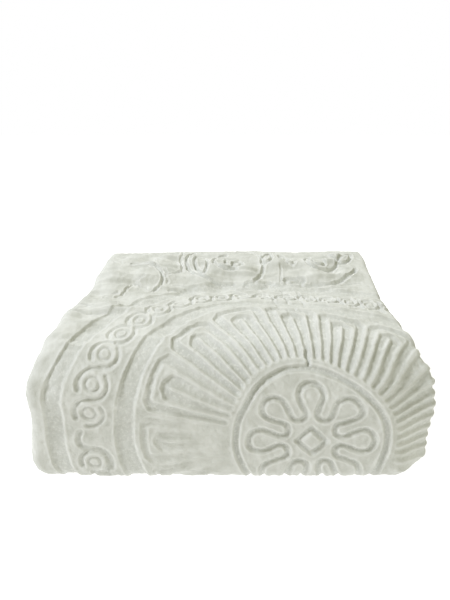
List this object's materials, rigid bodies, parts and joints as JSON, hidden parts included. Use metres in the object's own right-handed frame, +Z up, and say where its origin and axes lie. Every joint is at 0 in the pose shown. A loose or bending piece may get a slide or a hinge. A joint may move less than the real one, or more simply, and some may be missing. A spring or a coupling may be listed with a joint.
{
  "type": "folded blanket",
  "caption": "Thick plush blanket folded to and fro into a low rounded block, with raised ray, ring, scroll and flower ornament pressed into its show face.",
  "frame": {"origin": "middle of the underside, on the surface that the folded blanket rests on", "axes": "+X to the right along the long side, +Y from the round front fold towards the back edges, +Z up through the stack of layers"},
  "size_m": [0.6122, 0.4648, 0.2142],
  "materials": {
    "plush": "matt brushed pile"
  },
  "bodies": {
    "root": {"blanket": "plush"}
  },
  "joints": []
}
